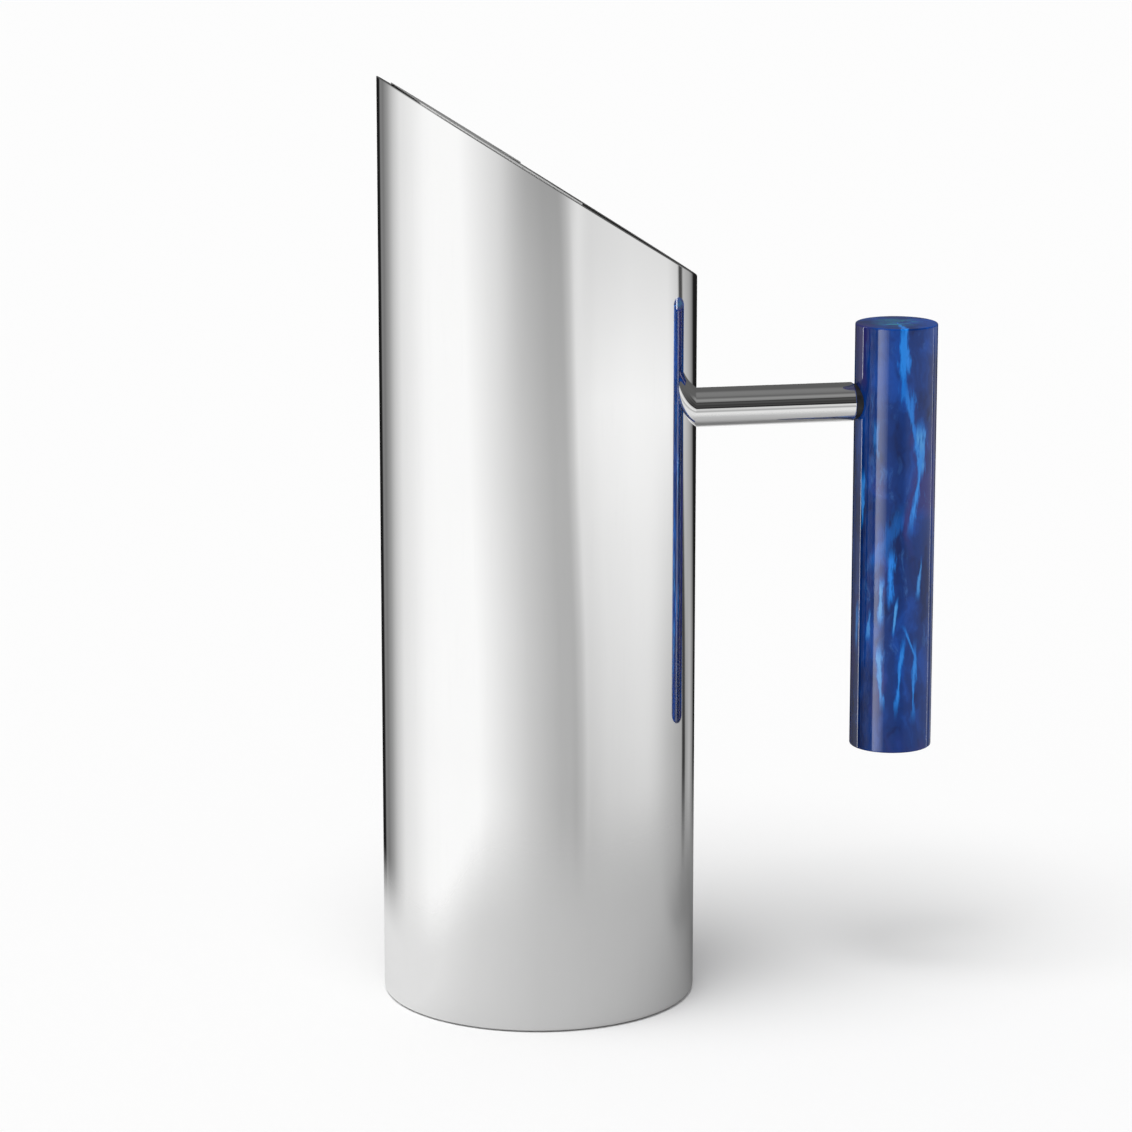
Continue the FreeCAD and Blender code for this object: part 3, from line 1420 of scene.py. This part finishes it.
@dataclass
class HandleGrip:
    """Upright resin rod with eased ends and a socket for the metal insert."""

    axis: float
    radius: float
    bottom: float
    top: float
    socket_height: float
    socket_radius: float
    socket_end: float
    easing: float = 0.5 * MM
    segments: int = 192
    socket_segments: int = 96
    rounding_steps: int = 6
    rest_reach: float = 1.6

    def profile(self) -> Profile:
        """The outline of the rod, from the middle of its bottom to the middle of its top."""
        flat = self.radius - self.easing
        low = arc((flat, self.bottom + self.easing), self.easing, -90.0, 0.0, self.rounding_steps)
        high = arc((flat, self.top - self.easing), self.easing, 0.0, 90.0, self.rounding_steps)
        near = self.rest_reach * self.socket_radius
        rests = [(self.radius, self.socket_height - near), (self.radius, self.socket_height + near)]
        return [(0.0, self.bottom), *low, *rests, *high, (0.0, self.top)]

    def socket_cutter(self) -> bpy.types.Object:
        """A level cylinder that leaves the socket when it is cut away."""
        start = self.axis - 2 * self.radius
        round_trip = (
            (start, 0.0),
            (start, self.socket_radius),
            (self.socket_end, self.socket_radius),
            (self.socket_end, 0.0),
        )
        rings = []
        for x, radius in round_trip:
            steps = self.socket_segments if radius else 1
            ring = []
            for i in range(steps):
                turn = 2 * math.pi * i / self.socket_segments
                height = self.socket_height + radius * math.sin(turn)
                ring.append(Vector((x, radius * math.cos(turn), height)))
            rings.append(ring)
        return MeshMaker.from_rings("socket_cutter", rings, joined=False)

    def build(self, finishes: Finishes) -> bpy.types.Object:
        """Make the grip.

        Args:
            finishes: The finishes.

        Returns:
            The piece.
        """
        centre = Vector((self.axis, 0, 0))
        piece = MeshMaker.turned("handle_grip_rod", self.profile(), centre, self.segments)
        cutter = self.socket_cutter()
        modifier = piece.modifiers.new("socket", "BOOLEAN")
        modifier.object = cutter
        modifier.operation = "DIFFERENCE"
        modifier.solver = "EXACT"
        MeshMaker.apply_modifiers(piece)
        bpy.data.objects.remove(cutter)
        MeshMaker.tidy_piece(piece, SHARP_ANGLE)
        MeshMaker.even_normals(piece)
        MeshMaker.dress(piece, finishes.resin)
        return seat(piece, Node.HANDLE_GRIP)


class HiddenFittings:
    """The plug, stud and insert inside the joint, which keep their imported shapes."""

    def dress(self, finishes: Finishes) -> None:
        """Give each fitting its finish.

        Args:
            finishes: The finishes.
        """
        chosen = {
            Node.ARM_END_PLUG: (finishes.turned_steel, Slot.TURNED_STEEL),
            Node.GRIP_STUD: (finishes.turned_steel, Slot.TURNED_STEEL),
            Node.GRIP_INSERT: (finishes.turned_brass, Slot.INSERT_BRASS),
        }
        for node, (material, slot) in chosen.items():
            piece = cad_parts[node.value]
            for material_slot in piece.material_slots:
                material_slot.material = material
            LOG.info("%s: keeps its packed shape", piece.name)


# --------------------------------------------------------------------------- studio


@dataclass(frozen=True)
class Card:
    """One stop in a row of cards: the angle where it stands, in degrees, and its level.

    The angle runs to the right from the camera side, or up from the horizon.
    """

    angle: float
    level: float


@dataclass(frozen=True)
class Fall:
    """How the wall's brightness changes towards the floor in one part of its round.

    The part opens over one pair of angles from the camera side and closes over the other. The
    cards run up from below and multiply the wall's level.
    """

    opening: tuple[float, float]
    closing: tuple[float, float]
    cards: tuple[Card, ...]


@dataclass(frozen=True)
class Surround:
    """What polished surfaces see round the object."""

    camera_side: tuple[float, float] = (-0.190, -0.982)
    wall: tuple[Card, ...] = (
        Card(-180, 0.012),
        Card(-157, 0.012),
        Card(-154, 0.22),
        Card(-146, 0.19),
        Card(-136, 0.33),
        Card(-127, 0.57),
        Card(-116, 0.79),
        Card(-103, 0.86),
        Card(-89, 0.97),
        Card(-78, 1.0),
        Card(-50, 1.0),
        Card(-35, 0.85),
        Card(-11, 0.61),
        Card(0, 0.53),
        Card(11, 0.46),
        Card(22, 0.45),
        Card(27, 0.60),
        Card(31, 0.80),
        Card(47, 0.90),
        Card(74, 0.95),
        Card(112, 0.93),
        Card(126, 0.76),
        Card(128, 0.08),
        Card(132, 0.08),
        Card(134, 0.60),
        Card(145, 0.42),
        Card(152, 0.24),
        Card(157, 0.012),
        Card(180, 0.012),
    )
    drift: tuple[Card, ...] = (
        Card(-15.0, -5.6),
        Card(-13.6, -4.2),
        Card(-11.4, 1.0),
        Card(-10.2, 3.0),
        Card(-8.6, 5.5),
        Card(-7.2, 9.0),
    )
    drift_reach: float = 10.0
    drift_ends: tuple[float, float] = (-95.0, -60.0)
    falls: tuple[Fall, ...] = (
        Fall(
            (22.0, 40.0),
            (150.0, 130.0),
            (
                Card(-18.0, 0.52),
                Card(-16.5, 0.62),
                Card(-14.9, 0.76),
                Card(-13.1, 0.86),
                Card(-11.8, 0.94),
                Card(-10.5, 1.0),
                Card(-8.5, 0.80),
                Card(-6.0, 0.74),
            ),
        ),
        Fall(
            (-30.0, -6.0),
            (30.0, 22.0),
            (
                Card(-18.0, 1.0),
                Card(-11.3, 1.0),
                Card(-8.8, 0.88),
                Card(-7.2, 0.74),
                Card(-6.0, 0.72),
            ),
        ),
        Fall(
            (85.0, 122.0),
            (150.0, 140.0),
            (
                Card(-17.5, 0.95),
                Card(-16.0, 0.72),
                Card(-14.9, 0.64),
                Card(-13.1, 0.78),
                Card(-11.8, 0.88),
                Card(-10.5, 1.0),
            ),
        ),
    )
    near_rise: tuple[float, float] = (-19.0, -25.0)
    near_level: float = 0.78
    front_rise: tuple[Card, ...] = (
        Card(0, 0.02),
        Card(4, 0.015),
        Card(10, 0.065),
        Card(16, 0.035),
        Card(22, 0.07),
        Card(29, 0.075),
        Card(34, 0.03),
        Card(38, 0.22),
        Card(48, 0.29),
        Card(54, 0.22),
        Card(60, 0.125),
        Card(72, 0.18),
        Card(90, 0.22),
    )
    left_ends: tuple[float, float] = (-45.0, -80.0)
    left_level: float = 0.45
    right_ends: tuple[float, float] = (45.0, 80.0)
    right_level: float = 0.12
    rear_ends: tuple[float, float] = (110.0, 150.0)
    rear_level: float = 0.11
    top_ends: tuple[float, float] = (62.0, 76.0)
    top_level: float = 0.20
    horizon: tuple[float, float] = (-2.5, 0.5)
    room_level: float = 0.29

    def world(self) -> None:
        """Make the world: white to the eye, plain grey to matt surfaces, cards to polished ones."""
        world = bpy.data.worlds.new("studio")
        world.use_nodes = True
        world.node_tree.nodes.clear()
        graph = NodeGraph(world.node_tree)
        light_path = graph.add("ShaderNodeLightPath").outputs
        direction = graph.add("ShaderNodeTexCoord").outputs["Generated"]
        polished = graph.polished(light_path)
        level = graph.blend_value(polished, self.room_level, self.cards(graph, direction))
        level = graph.blend_value(light_path["Is Camera Ray"], level, 1.0)
        white = Colour.grey(1.0).rgba()
        shader = graph.add("ShaderNodeBackground", {"Color": white, "Strength": level})
        out = graph.add("ShaderNodeOutputWorld")
        graph.feed(out.inputs["Surface"], shader.outputs[0])
        bpy.context.scene.world = world

    def cards(self, graph: NodeGraph, direction: Feed) -> bpy.types.NodeSocket:
        """The brightness of the cards in one direction.

        Args:
            graph: The world's graph.
            direction: The direction that is looked in.

        Returns:
            The brightness.
        """
        angle = self.turn(graph, direction)
        rise = graph.degrees(graph.calc("ARCSINE", graph.split(direction)[2]))
        drift = self.levels(graph, rise, self.drift, self.drift_reach)
        drift = graph.calc("MULTIPLY", drift, graph.span(angle, *self.drift_ends))
        drifted = graph.calc("WRAP", graph.calc("ADD", angle, drift), 180.0, -180.0)
        low = self.levels(graph, drifted, self.wall)
        for fall in self.falls:
            where = graph.window(angle, fall.opening, fall.closing)
            level = graph.blend_value(where, 1.0, self.levels(graph, rise, fall.cards))
            low = graph.calc("MULTIPLY", low, level)
        low = graph.blend_value(graph.span(rise, *self.near_rise), low, self.near_level)
        high = self.levels(graph, rise, self.front_rise)
        for value, ends, level in (
            (angle, self.left_ends, self.left_level),
            (angle, self.right_ends, self.right_level),
            (graph.calc("ABSOLUTE", angle), self.rear_ends, self.rear_level),
            (rise, self.top_ends, self.top_level),
        ):
            high = graph.blend_value(graph.span(value, *ends), high, level)
        return graph.blend_value(graph.span(rise, *self.horizon), low, high)

    def turn(self, graph: NodeGraph, place: Feed) -> bpy.types.NodeSocket:
        """How far a place or a direction is turned to the right of the camera side.

        Args:
            graph: The graph to build in.
            place: The place or direction, from the body's axis.

        Returns:
            The angle, in degrees.
        """
        front_x, front_y = self.camera_side
        forward = graph.dot(place, (front_x, front_y, 0.0))
        rightward = graph.dot(place, (-front_y, front_x, 0.0))
        return graph.degrees(graph.calc("ARCTAN2", rightward, forward))

    def levels(
        self, graph: NodeGraph, angle: Feed, cards: Sequence[Card], reach: float = 0.0
    ) -> bpy.types.NodeSocket:
        """The level of a row of cards.

        Args:
            graph: The graph to build in.
            angle: The angle to read the row at, in degrees.
            cards: The cards, in rising order.
            reach: The largest size of a signed level, or 0 where every level lies between 0 and 1.

        Returns:
            The level.
        """
        first, last = cards[0].angle, cards[-1].angle
        place = graph.span(angle, first, last, smooth=False)
        scale = 2.0 * reach or 1.0
        shift = 0.5 if reach else 0.0
        stops = [
            ((card.angle - first) / (last - first), Colour.grey(card.level / scale + shift))
            for card in cards
        ]
        level = graph.ramp(place, stops)
        if not reach:
            return level
        return graph.calc("MULTIPLY", graph.calc("SUBTRACT", level, shift), scale)


@dataclass(frozen=True)
class StripLamp:
    """A tall narrow lamp that shows only as a highlight on the grip.

    Its angle runs to the right from the camera side, about the grip's axis.
    """

    angle: float
    width: float
    strength: float
    distance: float = 0.12
    height: float = 0.30


@dataclass
class Studio:
    """Pale floor, one broad soft lamp, the surround and the camera."""

    surround: Surround = Surround()
    floor_reach: float = 8.0
    floor_colour: Colour = Colour(0.80, 0.80, 0.80)
    floor_seen: Colour = Colour(0.93, 0.93, 0.93)
    floor_lift: float = 0.08
    floor_fade: tuple[float, float] = (0.14, 0.31)
    left_fade: tuple[float, float] = (0.09, 0.18)
    left_opening: tuple[float, float] = (-30.0, -75.0)
    left_closing: tuple[float, float] = (-178.0, -150.0)
    # Painted shade on the floor as polished surfaces see it: full on the lamp side, darker in
    # front, darkest behind and to the right.
    floor_painted_shade_in_gloss: tuple[Card, ...] = (
        Card(-180, 0.25),
        Card(-165, 0.60),
        Card(-150, 0.95),
        Card(-120, 1.0),
        Card(-60, 1.0),
        Card(-35, 0.86),
        Card(0, 0.72),
        Card(30, 0.66),
        Card(90, 0.58),
        Card(110, 0.50),
        Card(130, 0.36),
        Card(180, 0.25),
    )
    lamp_strength: float = 2.26
    lamp_spread: float = 42.0
    lamp_elevation: float = 70.5
    lamp_azimuth: float = -50.0
    strips: tuple[StripLamp, ...] = (
        StripLamp(-106.0, 0.005, 8.0),
        StripLamp(-51.5, 0.0105, 4.4),
        StripLamp(-46.5, 0.0105, 4.4),
        StripLamp(-41.5, 0.0105, 3.7),
        StripLamp(-36.5, 0.0105, 2.9),
        StripLamp(-31.5, 0.0105, 2.0),
        StripLamp(-26.5, 0.0105, 1.1),
        StripLamp(117.0, 0.004, 2.6),
    )
    camera_place: tuple[float, float, float] = (-0.2476, -1.2770, 0.4251)
    camera_yaw: float = 11.348
    camera_pitch: float = 12.636
    camera_lens: float = 138.77

    def build(self, grip: bpy.types.Object, grip_middle: Vector) -> None:
        """Set up the whole studio.

        Args:
            grip: The grip, which the strip lamps light.
            grip_middle: The middle of the grip.
        """
        self.surround.world()
        self.floor()
        self.lamp()
        self.strip_lamps(grip, grip_middle)
        self.camera()
        scene = bpy.context.scene
        scene.view_settings.view_transform = "Standard"

    def floor(self) -> None:
        """Lay the floor. Polished surfaces see it close to the object, darkened by a painted shade
        away from the lamp side, and the cards beyond.
        """
        mesh = bpy.data.meshes.new("studio_floor")
        reach = self.floor_reach
        corners = [(-reach, -reach, 0), (reach, -reach, 0), (reach, reach, 0), (-reach, reach, 0)]
        mesh.from_pydata(corners, [], [(0, 1, 2, 3)])
        floor = bpy.data.objects.new("studio_floor", mesh)
        bpy.context.scene.collection.objects.link(floor)
        material = bpy.data.materials.new("studio floor")
        material.use_nodes = True
        material.node_tree.nodes.clear()
        graph = NodeGraph(material.node_tree)
        light_path = graph.add("ShaderNodeLightPath").outputs
        place = graph.add("ShaderNodeTexCoord").outputs["Object"]
        x, y, _ = graph.split(place)
        reach_out = graph.reach(x, y)
        angle = self.surround.turn(graph, place)
        on_left = graph.window(angle, self.left_opening, self.left_closing)
        fade_ends = [
            graph.blend_value(on_left, usual, left)
            for usual, left in zip(self.floor_fade, self.left_fade)
        ]
        far = graph.span(reach_out, *fade_ends)
        polished = graph.polished(light_path)
        # Painted shade: the floor's colour in reflections is multiplied down by angle from the
        # camera side.
        painted_floor_shade = self.surround.levels(graph, angle, self.floor_painted_shade_in_gloss)
        floor_with_painted_shade = graph.blend(1.0, self.floor_colour.rgba(), painted_floor_shade, "MULTIPLY")
        colour = graph.blend(polished, self.floor_colour.rgba(), floor_with_painted_shade)
        colour = graph.blend(light_path["Is Camera Ray"], colour, self.floor_seen.rgba())
        matt = graph.add("ShaderNodeBsdfDiffuse", {"Color": colour})
        lift = graph.calc("MULTIPLY", light_path["Is Camera Ray"], self.floor_lift)
        lifted = graph.add("ShaderNodeEmission", {"Strength": lift})
        shown = graph.add("ShaderNodeAddShader", {0: matt.outputs[0], 1: lifted.outputs[0]})
        clear = graph.add("ShaderNodeBsdfTransparent")
        gone = graph.calc("MULTIPLY", polished, far)
        both = graph.add("ShaderNodeMixShader", {0: gone, 1: shown.outputs[0], 2: clear.outputs[0]})
        out = graph.add("ShaderNodeOutputMaterial")
        graph.feed(out.inputs["Surface"], both.outputs[0])
        mesh.materials.append(material)

    def lamp(self) -> None:
        """Hang one broad soft lamp high up, to the left of the camera."""
        data = bpy.data.lights.new("soft_lamp", "SUN")
        data.energy = self.lamp_strength
        data.angle = math.radians(self.lamp_spread)
        lamp = bpy.data.objects.new("soft_lamp", data)
        turn = math.radians(self.lamp_azimuth)
        rise = math.radians(self.lamp_elevation)
        level = math.cos(rise)
        source = Vector((math.sin(turn) * level, -math.cos(turn) * level, math.sin(rise)))
        lamp.rotation_euler = source.to_track_quat("Z", "Y").to_euler()
        lamp.location = source
        lamp.visible_glossy = False
        bpy.context.scene.collection.objects.link(lamp)

    def strip_lamps(self, grip: bpy.types.Object, grip_middle: Vector) -> None:
        """Stand the strip lamps round the grip. They light nothing else and show only in its gloss.

        Args:
            grip: The grip.
            grip_middle: The middle of the grip.
        """
        lit = bpy.data.collections.new("lit_by_strips")
        lit.objects.link(grip)
        front_x, front_y = self.surround.camera_side
        forward = Vector((front_x, front_y, 0.0))
        rightward = Vector((-front_y, front_x, 0.0))
        for number, strip in enumerate(self.strips):
            turn = math.radians(strip.angle)
            way = forward * math.cos(turn) + rightward * math.sin(turn)
            data = bpy.data.lights.new(f"strip_lamp_{number}", "AREA")
            data.shape = "RECTANGLE"
            data.size = strip.width
            data.size_y = strip.height
            data.energy = strip.strength * math.pi * strip.width * strip.height
            lamp = bpy.data.objects.new(f"strip_lamp_{number}", data)
            lamp.location = grip_middle + way * strip.distance
            lamp.rotation_euler = way.to_track_quat("Z", "Y").to_euler()
            lamp.visible_diffuse = False
            lamp.visible_camera = False
            lamp.light_linking.receiver_collection = lit
            bpy.context.scene.collection.objects.link(lamp)

    def camera(self) -> None:
        """Set the camera."""
        data = bpy.data.cameras.new("camera")
        data.lens = self.camera_lens
        data.sensor_width = 36.0
        data.clip_start = 0.05
        data.clip_end = 50.0
        camera = bpy.data.objects.new("camera", data)
        camera.location = self.camera_place
        camera.rotation_euler = (
            math.radians(90.0 - self.camera_pitch),
            0.0,
            math.radians(-self.camera_yaw),
        )
        bpy.context.scene.collection.objects.link(camera)
        bpy.context.scene.camera = camera


def main() -> None:
    """Build the pitcher and its studio, and report each piece."""
    logging.basicConfig(level=logging.INFO, format="%(name)s: %(message)s")
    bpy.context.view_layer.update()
    shell_low, shell_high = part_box(Node.BODY_SHELL.value)
    guard_low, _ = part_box(Node.ICE_GUARD.value)
    arm_low, arm_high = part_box(Node.HANDLE_ARM.value)
    washer_low, washer_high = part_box(Node.GRIP_WASHER.value)
    insert_low, insert_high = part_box(Node.GRIP_INSERT.value)
    grip_low, grip_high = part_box(Node.HANDLE_GRIP.value)
    grip_axis = (grip_low.x + grip_high.x) / 2
    grip_radius = (grip_high.y - grip_low.y) / 2
    arm_height = (arm_low.z + arm_high.z) / 2
    body_radius = (shell_high.y - shell_low.y) / 2

    groups = Groups()
    finishes = Finishes(groups, grip_axis, (grip_low.z + grip_high.z) / 2)

    tube = BodyTube(radius=body_radius, foot=shell_low.z, tip=shell_high.z)
    tube.build(finishes)
    BasePan(radius=body_radius, top=shell_low.z).build(finishes)
    IceGuard(radius=body_radius, mouth=tube.mouth(), front=guard_low.x).build(finishes)
    arm = HandleArm(
        body_radius=body_radius,
        end=arm_high.x,
        height=arm_height,
        radius=(arm_high.z - arm_low.z) / 2,
    )
    arm.build(finishes)
    GripWasher(
        arm=arm,
        grip_axis=grip_axis,
        grip_radius=grip_radius,
        radius=(washer_high.z - washer_low.z) / 2,
    ).build(finishes)
    grip = HandleGrip(
        axis=grip_axis,
        radius=grip_radius,
        bottom=grip_low.z,
        top=grip_high.z,
        socket_height=arm_height,
        socket_radius=(insert_high.z - insert_low.z) / 2,
        socket_end=insert_high.x,
    ).build(finishes)
    HiddenFittings().dress(finishes)
    Studio().build(grip, (grip_low + grip_high) / 2)


if __name__ == "__main__":
    main()
